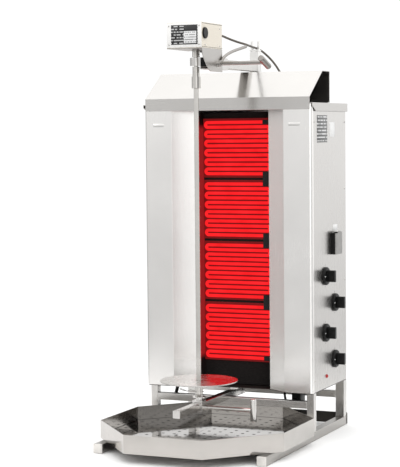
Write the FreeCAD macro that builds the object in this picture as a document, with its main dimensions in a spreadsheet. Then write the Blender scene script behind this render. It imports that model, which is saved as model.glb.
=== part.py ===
"""Upright electric gyros grill: a four-zone heater cabinet on a skid frame,
with a motor-driven spit that slides towards and away from the heaters.

All lengths are millimetres, +Z is up and the operator stands on the -Y side.
The origin is on the floor under the middle of the machine. The sheet "Dims"
holds the driving dimensions; positions along Y are written from the spit axis
and moved into the machine's frame by the cell spit_y.
"""
import FreeCAD, Part
import math
import os
import re

os.makedirs("parts", exist_ok=True)
V = FreeCAD.Vector
doc = FreeCAD.newDocument("GyrosGrill")
sheet = doc.addObject("Spreadsheet::Sheet", "Dims")

DIMENSIONS = {
    "spit_y": (-133.0, "spit axis, from the middle of the machine"),
    "skid_side": (25.0, "square tube of the skids and rear legs"),
    "leg_side": (20.0, "square tube of the front legs and crossbars"),
    "tube_wall": (2.0, "wall of every square tube"),
    "skid_half": (244.3, "half of the width over both skids"),
    "skid_front": (-137.0, "front end of the skids"),
    "skid_back": (495.8, "back end of the skids"),
    "leg_front": (217.8, "front face of the front legs"),
    "bar_low": (88.0, "underside of the front crossbar"),
    "rear_bar_low": (80.0, "underside of the rear crossbar"),
    "cab_half": (246.0, "half of the cabinet's width"),
    "cab_low": (131.0, "underside of the cabinet"),
    "cab_top": (917.8, "top of the cabinet walls"),
    "cab_front": (202.0, "front face of the cabinet"),
    "cab_back": (488.0, "back face of the cabinet"),
    "plate": (2.0, "thickness of the folded sheets"),
    "roof_half": (251.0, "half of the roof cap's width"),
    "roof_top": (920.0, "top of the roof cap"),
    "hood_half": (243.5, "half of the hood's length"),
    "hood_top": (1008.0, "top of the hood"),
    "opening_half": (105.0, "half of the heater opening's width"),
    "heater_y": (278.0, "plane of the heater tubes"),
    "heater_dia": (9.0, "heater tube"),
    "heater_half": (100.0, "half of the heater's width"),
    "lead_x": (78.0, "where a heater goes into its terminal block"),
    "pass_pitch": (13.0, "from one pass of a heater to the next"),
    "zone_pitch": (171.7, "from one heater to the next"),
    "zone_low": (211.2, "first pass of the lowest heater"),
    "arm_side": (25.0, "square tube of the upper arm and post"),
    "arm_mid": (12.5, "middle of the upper arm, post and motor"),
    "arm_low": (1012.0, "underside of the upper arm"),
    "arm_front": (86.0, "front end of the upper arm"),
    "post_front": (376.0, "front face of the post"),
    "post_top": (1070.0, "top of the post"),
    "lower_side": (20.0, "square tube of the lower arm"),
    "lower_low": (108.0, "underside of the lower arm"),
    "lower_front": (-143.5, "front end of the lower arm"),
    "motor_half": (49.6, "half of the motor's width"),
    "motor_front": (-101.5, "front of the motor"),
    "motor_back": (31.0, "back of the motor"),
    "motor_low": (1058.4, "underside of the motor"),
    "motor_top": (1123.3, "top of the motor"),
    "disc_radius": (103.3, "meat disc"),
    "disc_low": (184.0, "underside of the meat disc"),
    "disc_thick": (3.0, "meat disc"),
    "spit_side": (12.2, "square spit bar"),
    "spit_turn": (18.0, "rest angle of the square bar, degrees"),
    "ferrule_low": (958.0, "top of the square bar"),
    "cuff_low": (988.0, "top of the ferrule"),
    "cuff_top": (1014.0, "top of the round spit tube"),
    "screw_radius": (5.0, "clamp screws"),
    "upper_grip_x": (192.0, "cross grip of the upper clamp screw"),
    "lower_grip_x": (155.0, "cross grip of the lower clamp screw"),
    "grip_radius": (8.2, "cross grip of a clamp screw"),
    "grip_length": (60.0, "cross grip of a clamp screw"),
    "tray_half": (263.8, "half of the drip tray's width"),
    "tray_front": (-232.3, "front edge of the drip tray"),
    "tray_back": (337.0, "back edge of the drip tray"),
    "tray_low": (25.3, "underside of the drip tray"),
    "tray_top": (73.5, "rim of the drip tray"),
    "tray_cut_x": (154.0, "corner cut of the tray, along X"),
    "tray_cut_y": (171.0, "corner cut of the tray, along Y"),
    "plate_seam": (-27.0, "seam between the two drain plates"),
    "column_pitch": (32.5, "drain holes, along X"),
    "row_pitch": (34.75, "drain holes, along Y"),
    "hole_radius": (4.5, "drain holes"),
    "knob_flange": (25.0, "radius of a knob's flange"),
    "knob_reach": (30.0, "how far a knob stands out"),
    "cord_radius": (3.0, "motor cord"),
    "rod_radius": (4.0, "cord support rod"),
}
for row, (alias, (number, meaning)) in enumerate(DIMENSIONS.items(), start=1):
    sheet.set(f"A{row}", meaning)
    sheet.set(f"B{row}", str(number))
    sheet.setAlias(f"B{row}", alias)
doc.recompute()

NODES = []
PASSES = 12
ZONES = 4
KNOB_PLACES = ((310, 444), (389, 364), (311, 287), (388, 205))  # Y, Z
SWITCH_Y = 386.0
SWITCH_Z = 530.0
UPPER_SCREW_Y = 3.0
UPPER_SCREW_Z = 1021.0
LOWER_SCREW_Z = 115.0
DIAL_Y = -85.0
DIAL_Z = 1096.0
MOTOR_GLAND_X = 40.0
MOTOR_GLAND_Z = 1100.0
ROOF_GLAND = (92.0, 455.0)  # X, Y


def dim(alias):
    """One driving dimension as a number."""
    return float(sheet.get(alias))


def bind(thing, prop, text):
    """Bind a property to an expression whose words are cells of the sheet."""
    words = re.sub(r"[a-z][a-z_]*", lambda m: "Dims." + m.group(0), str(text))
    thing.setExpression(prop, words)


def place(thing, x, y, z):
    """Bind a position; y counts from the spit axis."""
    bind(thing, "Placement.Base.x", x)
    bind(thing, "Placement.Base.y", f"({y}) + spit_y")
    bind(thing, "Placement.Base.z", z)


def node(label, thing):
    """Name a finished sub-part."""
    thing.Label = label
    NODES.append(thing)
    return thing


def block(low, high):
    """A box between two corners, each three expressions."""
    box = doc.addObject("Part::Box", "Block")
    for prop, start, end in zip(("Length", "Width", "Height"), low, high):
        bind(box, prop, f"({end}) - ({start})")
    place(box, *low)
    return box


TURNS = {
    "Z": FreeCAD.Rotation(),
    "X": FreeCAD.Rotation(V(1, 1, 1), 120),
    "Y": FreeCAD.Rotation(V(1, 1, 1), 240),
}


def rod(axis, start, radius, length):
    """A cylinder along an axis of the frame."""
    bar = doc.addObject("Part::Cylinder", "Rod")
    bar.Placement = FreeCAD.Placement(V(), TURNS[axis])
    bind(bar, "Radius", radius)
    bind(bar, "Height", length)
    place(bar, *start)
    return bar


def join(*pieces):
    """One solid out of touching or crossing pieces."""
    fuse = doc.addObject("Part::MultiFuse", "Join")
    fuse.Shapes = list(pieces)
    fuse.Refine = True
    return fuse


def group(*pieces):
    """Separate solids kept in one sub-part."""
    bundle = doc.addObject("Part::Compound", "Group")
    bundle.Links = list(pieces)
    return bundle


def cut(base, *tools):
    """The base with every tool taken out of it."""
    result = doc.addObject("Part::Cut", "Cut")
    result.Base = base
    result.Tool = tools[0] if len(tools) == 1 else group(*tools)
    return result


def square_tube(low, high, along):
    """A square tube between two corners, open at both ends of its axis."""
    reach = {"X": 0, "Y": 1, "Z": 2}[along]
    inner_low = [f"({a}) + tube_wall" for a in low]
    inner_high = [f"({b}) - tube_wall" for b in high]
    inner_low[reach] = f"({low[reach]}) - 1"
    inner_high[reach] = f"({high[reach]}) + 1"
    return cut(block(low, high), block(inner_low, inner_high))


def span(side, outer, width):
    """The two X ends of a piece whose outer face is outer from the middle."""
    if side < 0:
        return f"-({outer})", f"-({outer}) + ({width})"
    return f"({outer}) - ({width})", f"({outer})"


# Sketch-based pieces ------------------------------------------------------


def corner_steps(outline):
    """Turn an outline into line and arc pieces; an arc is (middle, end)."""
    pieces = []
    here = outline[0]
    for step in outline[1:] + [outline[0]]:
        if isinstance(step[0], tuple):
            middle, end = step
            points = [V(*here, 0), V(*middle, 0), V(*end, 0)]
            pieces.append(Part.Arc(*points))
            here = end
        elif step != here:
            pieces.append(Part.LineSegment(V(*here, 0), V(*step, 0)))
            here = step
    return pieces


def sketch(body, plane, *outlines):
    """A sketch with closed outlines on one of the body's own planes."""
    lines = body.newObject("Sketcher::SketchObject", "Outline")
    origin = [f for f in body.Origin.OriginFeatures if f.Role == plane]
    lines.AttachmentSupport = [(origin[0], "")]
    lines.MapMode = "FlatFace"
    for outline in outlines:
        for piece in corner_steps(outline):
            lines.addGeometry(piece)
    return lines


def padded(plane, depth, position, *outlines):
    """A body padded out of a flat outline; the position is bound."""
    body = doc.addObject("PartDesign::Body", "Body")
    lines = sketch(body, plane, *outlines)
    pad = body.newObject("PartDesign::Pad", "Pad")
    pad.Profile = lines
    bind(pad, "Length", depth)
    lines.Visibility = False
    body.Tip = pad
    place(body, *position)
    return body


def turned(profile, axis, position):
    """A body turned from a radius-height profile about the frame's axis."""
    body = doc.addObject("PartDesign::Body", "Body")
    lines = sketch(body, "XZ_Plane", profile)
    turn = body.newObject("PartDesign::Revolution", "Turned")
    turn.Profile = lines
    turn.ReferenceAxis = (lines, ["V_Axis"])
    turn.Angle = 360
    body.Tip = turn
    body.Placement = FreeCAD.Placement(V(), TURNS[axis])
    place(body, *position)
    return body


def folded(line, thick):
    """Outline of a sheet whose outer face follows a line of points.

    The sheet's inner face lies on the right-hand side of the line.
    """
    normals = []
    for (ax, ay), (bx, by) in zip(line, line[1:]):
        size = math.hypot(bx - ax, by - ay)
        normals.append(((by - ay) / size, (ax - bx) / size))
    inner = []
    for index, (px, py) in enumerate(line):
        first = normals[max(index - 1, 0)]
        second = normals[min(index, len(normals) - 1)]
        bend = 1 + first[0] * second[0] + first[1] * second[1]
        shift = [thick * (f + s) / bend for f, s in zip(first, second)]
        inner.append((px + shift[0], py + shift[1]))
    return list(line) + inner[::-1]


def mirrored(line):
    """The same line on the other side of the middle plane, run backwards."""
    return [(-x, y) for x, y in reversed(line)]


def bent_tube(points, radius):
    """A round tube along straight runs joined by tangent arcs."""
    path = []
    start = points[0]
    radii = []
    for before, here, after in zip(points, points[1:], points[2:]):
        come = (before - here).normalize()
        leave = (after - here).normalize()
        half_turn = (math.pi - come.getAngle(leave)) / 2
        shorter = min((here - before).Length, (after - here).Length)
        back = 0.45 * shorter
        radii.append(back / math.tan(half_turn))
        first = here + come * back
        last = here + leave * back
        inward = (come + leave).normalize()
        depth = radii[-1] / math.cos(half_turn) - radii[-1]
        path.append(Part.LineSegment(start, first).toShape())
        middle = here + inward * depth
        path.append(Part.Arc(first, middle, last).toShape())
        start = last
    path.append(Part.LineSegment(start, points[-1]).toShape())
    wire = Part.Wire(path)
    heading = (points[1] - points[0]).normalize()
    ring = Part.Wire([Part.makeCircle(radius, points[0], heading)])
    tube = wire.makePipeShell([ring], True, False)
    ideal = math.pi * radius ** 2 * wire.Length
    print(f"tube {wire.Length:.1f} long, tightest bend {min(radii):.1f},",
          f"volume {tube.Volume / ideal:.3f} of section times length")
    return tube


def formed(shape):
    """A sub-part whose shape is made by the code, moved with the spit axis."""
    thing = doc.addObject("Part::Feature", "Formed")
    thing.Shape = shape
    place(thing, 0, 0, 0)
    return thing


# Frame --------------------------------------------------------------------


def build_frame():
    caps = []
    front_legs = []
    rear_legs = []
    for side, name in ((-1, "left"), (1, "right")):
        low, high = span(side, "skid_half", "skid_side")
        skid = square_tube((low, "skid_front", 0), (high, "skid_back", "skid_side"), "Y")
        node(f"skid_{name}", skid)
        plug = block(
            (f"{low} + tube_wall", "skid_front", "tube_wall"),
            (f"{high} - tube_wall", "skid_front + 12", "skid_side - tube_wall"),
        )
        face = block((low, "skid_front - 3", 0.4), (high, "skid_front", "skid_side - 0.2"))
        caps.append(join(plug, face))
        x_low, x_high = span(side, "skid_half", "leg_side")
        front_legs.append(square_tube(
            (x_low, "leg_front", "skid_side"),
            (x_high, "leg_front + leg_side", "cab_low"), "Z"))
        rear_legs.append(square_tube(
            (low, "skid_back - skid_side", "skid_side"),
            (high, "skid_back", "cab_low"), "Z"))
    node("skid_caps", group(*caps))
    node("front_legs", group(*front_legs))
    node("rear_legs", group(*rear_legs))
    inside = "skid_half - leg_side"
    front = square_tube(
        (f"-({inside})", "leg_front", "bar_low"),
        (inside, "leg_front + leg_side", "bar_low + leg_side"), "X")
    inside = "skid_half - skid_side"
    rear = square_tube(
        (f"-({inside})", "skid_back - skid_side", "rear_bar_low"),
        (inside, "skid_back - skid_side + leg_side", "rear_bar_low + leg_side"), "X")
    node("crossbars", group(front, rear))
    node("rear_base_plate", block(
        ("-cab_half", "skid_back", 2), ("cab_half", "skid_back + plate", 34)))


# Cabinet ------------------------------------------------------------------


def wing_line():
    """Plan outline of the right-hand front panel, from side to opening."""
    half = dim("cab_half")
    front = dim("cab_front")
    opening = dim("opening_half")
    corner = [(half, front + 12), (half, front + 5), (half - 1.5, front + 1.8)]
    face = [(half - 5, front), (167, front + 1.5), (143, front + 18)]
    lip = opening + 5.8
    return corner + face + [(lip, front + 38), (lip, front + 60)]


def build_cabinet():
    wing = wing_line()
    height = "cab_top - cab_low - plate"
    floor = ("0", "0", "cab_low + plate")
    node("front_wing_right", padded(
        "XY_Plane", height, floor, folded(wing, -dim("plate"))))
    node("front_wing_left", padded(
        "XY_Plane", height, floor, folded(mirrored(wing), -dim("plate"))))
    pan_edge = wing[:-1]
    back = dim("cab_back")
    pan = [(dim("cab_half"), back)] + pan_edge + mirrored(pan_edge)
    node("base_pan", padded(
        "XY_Plane", "plate", ("0", "0", "cab_low"), pan + [(-dim("cab_half"), back)]))

    node("side_panel_left", block(
        ("-cab_half", "cab_front + 12", "cab_low + plate"),
        ("-cab_half + plate", "cab_back", "cab_top")))
    panel = block(
        ("cab_half - plate", "cab_front + 12", "cab_low + plate"),
        ("cab_half", "cab_back", "cab_top"))
    holes = [rod("X", ("cab_half - 5", y, z), 6, 10) for y, z in KNOB_PLACES]
    holes.append(block(
        ("cab_half - 5", SWITCH_Y - 11, SWITCH_Z - 17),
        ("cab_half + 5", SWITCH_Y + 11, SWITCH_Z + 17)))
    node("side_panel_right", cut(panel, *holes))

    slots = []
    for column in (-120, 0, 120):
        for level in range(8):
            for base in (200, 640):
                low = base + 22 * level
                slots.append(block(
                    (column - 40, "cab_back - 5", low),
                    (column + 40, "cab_back + 5", low + 6)))
    cover = block(
        ("-cab_half + plate", "cab_back - plate", "cab_low + plate"),
        ("cab_half - plate", "cab_back", "cab_top"))
    node("rear_cover", cut(cover, *slots))

    outer = block(
        ("-roof_half", "cab_front - 3.5", "roof_top - 23"),
        ("roof_half", "cab_back + 5", "roof_top"))
    inner = block(
        ("-roof_half + plate", "cab_front - 5", "roof_top - 30"),
        ("roof_half - plate", "cab_back + 3", "roof_top - plate"))
    front = dim("cab_front") - 4.5
    top = dim("roof_top")
    nip = padded("YZ_Plane", "2 * roof_half + 10", ("-roof_half - 5", "0", "0"), [
        (front, top - 8), (front + 28, top - 21), (front + 28, top - 30), (front, top - 30)])
    gland_hole = rod("Z", (*ROOF_GLAND, "roof_top - 5"), 6, 10)
    node("roof_cap", cut(outer, inner, nip, gland_hole))

    band = dim("cab_front") - 5.5
    crest = dim("hood_top")
    crest_front, crest_back = 302, 362
    seam = top + 0.2
    hood = folded([
        (band, top - 18), (band, top + 16), (crest_front, crest), (crest_back, crest),
        (crest_back, seam), (crest_back - 16, seam)], dim("plate"))
    node("hood", padded("YZ_Plane", "2 * hood_half", ("-hood_half", "0", "0"), hood))

    # Casing behind the opening, and the insulation that fills it.
    side = dim("opening_half") + 2.8
    lip = dim("heater_y") - 21
    rear = dim("heater_y") + 25
    casing = folded([(side, lip), (side, rear), (-side, rear), (-side, lip)], -dim("plate"))
    node("heater_casing", padded(
        "XY_Plane", "cab_top - cab_low - plate - 20", ("0", "0", "cab_low + plate"), casing))
    node("insulation_board", block(
        ("-opening_half - 0.3", "heater_y + 8.3", "cab_low + 4"),
        ("opening_half + 0.3", "heater_y + 22.6", "cab_top - 22")))


# Heaters ------------------------------------------------------------------


def heater_path(low):
    """Centre line of one heater: twelve passes joined by half circles."""
    bend = dim("pass_pitch") / 2
    turn_x = dim("heater_half") - bend - dim("heater_dia") / 2
    lead_x = dim("lead_x")
    depth = dim("heater_y")
    pieces = []
    for index in range(PASSES):
        level = low + index * dim("pass_pitch")
        to_left = index % 2 == 0
        start_x = turn_x if to_left else -turn_x
        end_x = -start_x
        if index == 0:
            start_x = lead_x
        if index == PASSES - 1:
            end_x = lead_x
        start = V(start_x, depth, level)
        end = V(end_x, depth, level)
        pieces.append(Part.LineSegment(start, end).toShape())
        if index < PASSES - 1:
            out = -1 if to_left else 1
            middle = V(end_x + out * bend, depth, level + bend)
            top = V(end_x, depth, level + 2 * bend)
            pieces.append(Part.Arc(end, middle, top).toShape())
    return Part.Wire(pieces)


def terminal_block(low, high):
    """A block over the heater ends between two levels."""
    return block(("lead_x", "heater_y - 6", low), ("heater_half + 1", "heater_y + 6.2", high))


def build_heaters():
    reflectors = []
    ring_radius = dim("heater_dia") / 2
    for zone in range(ZONES):
        low = dim("zone_low") + zone * dim("zone_pitch")
        path = heater_path(low)
        ring = Part.makeCircle(ring_radius, V(dim("lead_x"), dim("heater_y"), low), V(1, 0, 0))
        tube = path.makePipeShell([Part.Wire([ring])], True, False)
        node(f"heater_{zone + 1}", formed(tube))
        base = f"zone_low + {zone} * zone_pitch"
        last = f"{base} + {PASSES - 1} * pass_pitch"
        reflectors.append(block(
            ("-opening_half - 0.3", "heater_y + 6.2", f"{base} - 11"),
            ("opening_half + 0.3", "heater_y + 8.2", f"{last} + 11")))
    node("reflectors", group(*reflectors))
    # One block at each end of the stack, and one over each gap between zones.
    top = f"zone_low + {ZONES - 1} * zone_pitch + {PASSES - 1} * pass_pitch"
    terminals = [
        terminal_block("zone_low - 6", "zone_low + 6"),
        terminal_block(f"{top} - 6", f"{top} + 6")]
    for zone in range(ZONES - 1):
        last = f"zone_low + {zone} * zone_pitch + {PASSES - 1} * pass_pitch"
        terminals.append(
            terminal_block(f"{last} - 6", f"zone_low + {zone + 1} * zone_pitch + 6"))
    node("heater_terminals", group(*terminals))


# Controls on the right-hand side ------------------------------------------


def knob(position):
    """A knob with a round flange, a narrow grip and its own shaft."""
    flange = dim("knob_flange")
    body = turned([
        (0, -22), (3, -22), (3, 0.4), (flange, 0.4), (flange, 5), (flange - 2.5, 8), (0, 8)],
        "X", position)
    half = 6
    lines = sketch(body, "XY_Plane", [
        (-half, -13), ((-4.8, -15), (0, -15.5)), ((4.8, -15), (half, -13)),
        (half, 13), ((4.8, 15), (0, 15.5)), ((-4.8, 15), (-half, 13))])
    grip = body.newObject("PartDesign::Pad", "Grip")
    grip.Profile = lines
    bind(grip, "Length", "knob_reach")
    body.Tip = grip
    return body


def switch_box(x_low, x_high, half_y, half_z, rise=0):
    """A block centred on the switch, between two distances from the panel."""
    return block(
        (f"cab_half + ({x_low})", SWITCH_Y - half_y, SWITCH_Z + rise - half_z),
        (f"cab_half + ({x_high})", SWITCH_Y + half_y, SWITCH_Z + rise + half_z))


def build_controls():
    regulators = []
    for index, (y, z) in enumerate(KNOB_PLACES, start=1):
        node(f"knob_{index}", knob(("cab_half", y, z)))
        case = block(("cab_half - 36", y - 21, z - 21), ("cab_half - plate - 0.3", y + 21, z + 21))
        regulators.append(cut(case, rod("X", ("cab_half - 30", y, z), 3.3, 40)))
    node("regulators", group(*regulators))

    # Switch: a box on the panel whose lid hangs from a barrel between two ears.
    shell = switch_box(0, 11.5, 26, 30)
    hinge_x = "cab_half + 14.5"
    hinge_z = SWITCH_Z + 31
    pin_half = 18
    barrel_half = 14
    lid = switch_box(12, 15, 26, 29.5, rise=-0.5)
    barrel = rod("Y", (hinge_x, SWITCH_Y - barrel_half, hinge_z), 2.2, 2 * barrel_half)
    bore = rod("Y", (hinge_x, SWITCH_Y - pin_half, hinge_z), 1.3, 2 * pin_half)
    node("switch_lid", cut(join(lid, barrel), bore))
    pin = rod("Y", (hinge_x, SWITCH_Y - pin_half, hinge_z), 1, 2 * pin_half)
    ears = []
    for start in (SWITCH_Y - pin_half, SWITCH_Y + pin_half - 3):
        ears.append(block(("cab_half + 7", start, hinge_z - 1.5),
                          ("cab_half + 15.5", start + 3, hinge_z + 2)))
    roots = block(("cab_half + 7", SWITCH_Y - pin_half, hinge_z - 1.5),
                  ("cab_half + 10", SWITCH_Y + pin_half, hinge_z + 0.5))
    room = switch_box(-1, 12, 16, 21)
    node("switch_housing", join(cut(shell, room), pin, roots, *ears))
    # The frame is narrower where it passes through the panel.
    frame = cut(switch_box(-12, 3, 13, 19.5), switch_box(-3, 0, 14, 20))
    well = switch_box(-8, 4, 8.5, 14.5)
    node("switch_frame", cut(join(frame, switch_box(-3, 0, 10.5, 16.5)), well))
    mid = dim("cab_half")
    node("switch_rocker", padded("XZ_Plane", 16, ("0", SWITCH_Y + 8, "0"), [
        (mid - 5, SWITCH_Z), ((mid - 4, SWITCH_Z + 7), (mid + 0.5, SWITCH_Z + 12.5)),
        (mid + 6, SWITCH_Z + 12), (mid + 3.6, SWITCH_Z), (mid + 6, SWITCH_Z - 12),
        (mid + 0.5, SWITCH_Z - 12.5), ((mid - 4, SWITCH_Z - 7), (mid - 5, SWITCH_Z))]))


# Top: post, arm and motor carriage ----------------------------------------


def build_post_and_arm():
    x_low = "arm_mid - arm_side / 2"
    x_high = "arm_mid + arm_side / 2"
    back = "post_front + arm_side"
    tube = square_tube((x_low, "post_front", "roof_top + 3"), (x_high, back, "post_top"), "Z")
    foot = block(
        ("arm_mid - 32", "post_front - 8", "roof_top"),
        ("arm_mid + 32", "post_front + arm_side + 24", "roof_top + 3"))
    node("post", join(tube, foot))
    # Fork of two round-ended prongs that holds the cord above the post.
    yoke = block((x_low, "post_front", "post_top"), (x_high, back, "post_top + 4"))
    prongs = []
    for start in (x_low, f"{x_high} - 5"):
        prongs.append(block((start, "post_front + 7", "post_top + 4"),
                            (f"{start} + 5", f"{back} - 7", "post_top + 27")))
        prongs.append(rod("X", (start, "post_front + arm_side / 2", "post_top + 27"), 5.5, 5))
    node("cord_fork", join(yoke, *prongs))
    arm = square_tube(
        (x_low, "arm_front", "arm_low"), (x_high, "post_front", "arm_low + arm_side"), "Y")
    node("upper_arm", arm)
    return block(
        (f"{x_low} + tube_wall", "arm_front", "arm_low + tube_wall"),
        (f"{x_high} - tube_wall", "arm_front + 10", "arm_low + arm_side - tube_wall"))


def cheek_outline():
    """Side plate below the motor, with a rounded front edge."""
    front = dim("motor_front")
    back = dim("motor_back")
    top = dim("motor_low") - dim("plate")
    return [(back, top), (front, top), (front + 2, top - 12),
            ((front + 20, top - 33), (front + 46, top - 54)),
            (front + 54, top - 57), (back, top - 57)]


def build_carriage():
    x_low = "arm_mid - motor_half"
    x_high = "arm_mid + motor_half"
    deck_low = "motor_low - plate"
    deck = block((x_low, "motor_front", deck_low), (x_high, "motor_back", "motor_low"))
    shaft_hole = rod("Z", (0, 0, f"{deck_low} - 1"), 12, 5)
    cheek = padded("YZ_Plane", "plate", (f"{x_high} - plate", "0", "0"), cheek_outline())
    nut = rod("X", (x_high, UPPER_SCREW_Y, UPPER_SCREW_Z), 8, 9)
    screw_bore = rod("X", ("arm_mid - 10", UPPER_SCREW_Y, UPPER_SCREW_Z), "screw_radius + 0.3", 80)
    node("carriage_bracket", cut(join(cut(deck, shaft_hole), cheek, nut), screw_bore))
    # Sleeve that slides on the arm, hung from the deck.
    gap = 0.5
    wall = 3
    sleeve_front, sleeve_back = 34, 148
    arm_low = (f"arm_mid - arm_side / 2 - {gap}", f"arm_low - {gap}")
    arm_high = (f"arm_mid + arm_side / 2 + {gap}", f"arm_low + arm_side + {gap}")
    shell = block(
        (f"{arm_low[0]} - {wall}", sleeve_front, f"{arm_low[1]} - {wall}"),
        (f"{arm_high[0]} + {wall}", sleeve_back, f"{arm_high[1]} + {wall}"))
    tunnel = block(
        (arm_low[0], sleeve_front - 1, arm_low[1]), (arm_high[0], sleeve_back + 1, arm_high[1]))
    web_low = f"{arm_high[1]} + {wall}"
    web = block(("arm_mid - 9", sleeve_front, web_low), ("arm_mid + 9", 110, deck_low))
    lug = block(("arm_mid - 9", 16, f"{deck_low} - 5"), ("arm_mid + 9", sleeve_front, deck_low))
    node("carriage_sleeve", join(cut(shell, tunnel), web, lug))
    # Collar that steadies the top of the spit, and the block that clamps it.
    collar = join(rod("Z", (0, 0, 1016), 16, 21), block((0, -11, 1016), (17.8, 11, 1037)))
    node("steady_collar", cut(collar, rod("Z", (0, 0, 1010), 5.3, 40), screw_bore))
    jaw = block((18, -10, 1014), (f"{x_high} - plate", 11, 1037))
    node("clamp_block", cut(jaw, screw_bore))


def clamp_screw(x_low, x_mid, y, z, grip_turn, name):
    """A screw with a cross grip at its outer end."""
    stem = rod("X", (x_low, y, z), "screw_radius", f"({x_mid}) - ({x_low}) + 2")
    grip = doc.addObject("Part::Cylinder", "Grip")
    grip.Placement = FreeCAD.Placement(V(), FreeCAD.Rotation(V(1, 0, 0), grip_turn))
    bind(grip, "Radius", "grip_radius")
    bind(grip, "Height", "grip_length")
    tilt = math.radians(grip_turn)
    place(grip, x_mid, f"{y} + {math.sin(tilt)} * grip_length / 2",
          f"{z} - {math.cos(tilt)} * grip_length / 2")
    ends = doc.addObject("Part::Fillet", "Rounded")
    ends.Base = grip
    doc.recompute()
    rims = [i for i, e in enumerate(grip.Shape.Edges, start=1) if isinstance(e.Curve, Part.Circle)]
    ends.Edges = [(i, 2.5, 2.5) for i in rims]
    node(name, join(stem, ends))


def build_motor():
    half = dim("motor_half")
    front = dim("motor_front")
    back = dim("motor_back")
    mid = dim("arm_mid")
    soft = 3.0
    slack = soft * (1 - math.sqrt(0.5))
    x_low, x_high = mid - half, mid + half
    outline = [
        (x_low + soft, front), (x_high - soft, front),
        ((x_high - slack, front + slack), (x_high, front + soft)), (x_high, back - soft),
        ((x_high - slack, back - slack), (x_high - soft, back)), (x_low + soft, back),
        ((x_low + slack, back - slack), (x_low, back - soft)), (x_low, front + soft),
        ((x_low + slack, front + slack), (x_low + soft, front))]
    shell = padded("XY_Plane", "motor_top - motor_low", ("0", "0", "motor_low"), outline)
    room = block(
        (x_low + 2, front + 2, "motor_low - 1"), (x_high - 2, back - 2, "motor_top - 2"))
    port = rod("Y", (MOTOR_GLAND_X, "motor_back - 5", MOTOR_GLAND_Z), 5, 10)
    axle = rod("X", (f"{x_high} - 5", DIAL_Y, DIAL_Z), 4, 10)
    node("motor_housing", cut(shell, room, port, axle))
    case = block((-24, -60, "motor_low"), (48, 22, 1104))
    node("gear_motor", cut(case, rod("Z", (0, 0, 1050), 10.6, 40)))
    rim = 14.5
    stem = turned(
        [(0, -8), (3, -8), (3, 0.4), (rim, 0.4), (rim, 3.4), (rim - 1, 4.6), (0, 4.6)],
        "X", (x_high, DIAL_Y, DIAL_Z))
    notches = []
    count = 16
    for step in range(count):
        turn = 2 * math.pi * step / count
        y = DIAL_Y + (rim + 0.7) * math.cos(turn)
        z = DIAL_Z + (rim + 0.7) * math.sin(turn)
        notches.append(rod("X", (x_high + 2, y, z), 1.6, 12))
    node("motor_knob", cut(stem, *notches))
    node("motor_gland", turned(
        [(3.05, -3.0), (4.9, -3.0), (4.9, 0.0), (8, 0), (8, 7), (5.5, 10), (3.05, 10)],
        "Y", (MOTOR_GLAND_X, "motor_back", MOTOR_GLAND_Z)))


# Spit ---------------------------------------------------------------------


def build_spit():
    half = dim("spit_side") / 2
    turn = math.radians(dim("spit_turn"))
    corners = []
    for step in range(4):
        angle = turn + math.radians(45 + 90 * step)
        reach = half * math.sqrt(2)
        corners.append((reach * math.cos(angle), reach * math.sin(angle)))
    node("spit_bar", padded(
        "XY_Plane", "ferrule_low - disc_low", ("0", "0", "disc_low"), corners))
    ferrule = rod("Z", (0, 0, "ferrule_low"), 11.8, "cuff_low - ferrule_low")
    tube = rod("Z", (0, 0, "cuff_low"), 9.5, "cuff_top - cuff_low")
    pin = rod("Z", (0, 0, "cuff_top"), 5, 32)
    dog = block((-9, -2.5, 1040), (9, 2.5, 1045))
    node("spit_head", join(ferrule, tube, pin, dog))
    # Sleeve on the motor's shaft, slotted for the cross pin of the spit.
    sleeve = rod("Z", (0, 0, 1038.5), 10, "motor_low + 30 - 1038.5")
    slot = block((-12, -3, 1038), (12, 3, 1047))
    node("drive_coupling", cut(sleeve, slot, rod("Z", (0, 0, 1038), 5.3, 10)))
    disc = rod("Z", (0, 0, "disc_low"), "disc_radius", "disc_thick")
    node("meat_disc", cut(disc, rod("Z", (0, 0, "disc_low - 1"), 9.2, 10)))
    pin_end = -37
    column_end = -34
    column = 10.5
    node("disc_hub", turned(
        [(0, pin_end), (5.9, pin_end), (5.9, column_end), (column, column_end), (column, -3),
         (14, -3), (14, 0), (0, 0)], "Z", (0, 0, "disc_low")))


# Lower arm, foot and tray -------------------------------------------------


def build_lower_arm(upper_cap):
    half = "lower_side / 2"
    arm = square_tube(
        (f"-{half}", "lower_front", "lower_low"), (half, 300, "lower_low + lower_side"), "Y")
    hanger = block((-14, 240, "lower_low + lower_side"), (14, 298, "cab_low"))
    node("lower_arm", join(arm, hanger))
    face = block((f"-{half}", "lower_front - 2.5", "lower_low"),
                 (half, "lower_front", "lower_low + lower_side"))
    plug = block((f"-{half} + tube_wall", "lower_front", "lower_low + tube_wall"),
                 (f"{half} - tube_wall", "lower_front + 10", "lower_low + lower_side - tube_wall"))
    node("arm_caps", group(join(face, plug), upper_cap))


def build_foot():
    gap = 0.4
    shell = block((-14, -12, 102), (14, 12, 134))
    tunnel = block(
        (f"-lower_side / 2 - {gap}", -13, f"lower_low - {gap}"),
        (f"lower_side / 2 + {gap}", 13, f"lower_low + lower_side + {gap}"))
    slot = block((-15, -1, 101), (-10, 1, 112))
    screw_hole = rod("X", (5, 0, LOWER_SCREW_Z), 5.3, 30)
    boss = cut(rod("X", (14, 0, LOWER_SCREW_Z), 7, 10), rod("X", (13, 0, LOWER_SCREW_Z), 5.3, 12))
    neck = rod("Z", (0, 0, 134), 8, 7)
    node("foot_clamp", join(cut(shell, tunnel, slot, screw_hole), boss, neck))
    node("foot_cup", turned([
        (0, 141), (17, 141), (17, 143.5), (11, 143.5), (8.5, 149.5), (6.2, 149.5), (6.2, 146.5),
        (0, 146.5)],
        "Z", (0, 0, 0)))


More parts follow.
